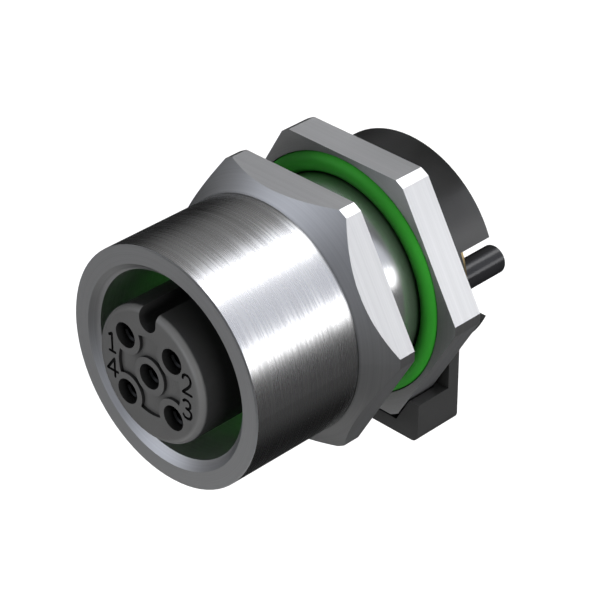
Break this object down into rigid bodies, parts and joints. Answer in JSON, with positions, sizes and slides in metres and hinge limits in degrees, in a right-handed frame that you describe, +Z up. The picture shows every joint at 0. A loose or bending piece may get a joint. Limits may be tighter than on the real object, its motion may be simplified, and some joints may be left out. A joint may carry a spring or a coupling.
{
  "type": "m12 panel connector",
  "caption": "Round female panel connector with a 12 mm thread, sleeve nut, hexagonal flange, ring seal and board-mount shell.",
  "frame": {"origin": "on the connector's axis, in the plane of the flange face that stops on the panel", "axes": "-Y out of the mating face, +Y towards the circuit board, +Z up through the keyway"},
  "size_m": [0.017, 0.0217, 0.016],
  "materials": {
    "plated_metal": "nickel plated, turned, satin",
    "green_seal": "smooth moulded rubber",
    "insert_plastic": "moulded, satin",
    "shell_plastic": "moulded, satin",
    "shield_brass": "rolled sheet",
    "contact_gold": "gold plated"
  },
  "bodies": {
    "connector": {"rear_housing": "plated_metal", "panel_o_ring": "green_seal", "bore_seal": "green_seal", "insert_o_ring": "green_seal", "contact_insert": "insert_plastic", "tail_spacer": "insert_plastic", "rear_shell": "shell_plastic", "shield_ring": "shield_brass", "contact_1": "contact_gold", "contact_2": "contact_gold", "contact_3": "contact_gold", "contact_4": "contact_gold", "contact_5": "contact_gold"},
    "sleeve_nut": {"front_sleeve": "plated_metal"}
  },
  "joints": [
    {"name": "sleeve_travel", "type": "slide", "parent": "connector", "child": "sleeve_nut", "axis": [0, -1, 0], "range_m": [-0.0017, 0.0115]}
  ]
}
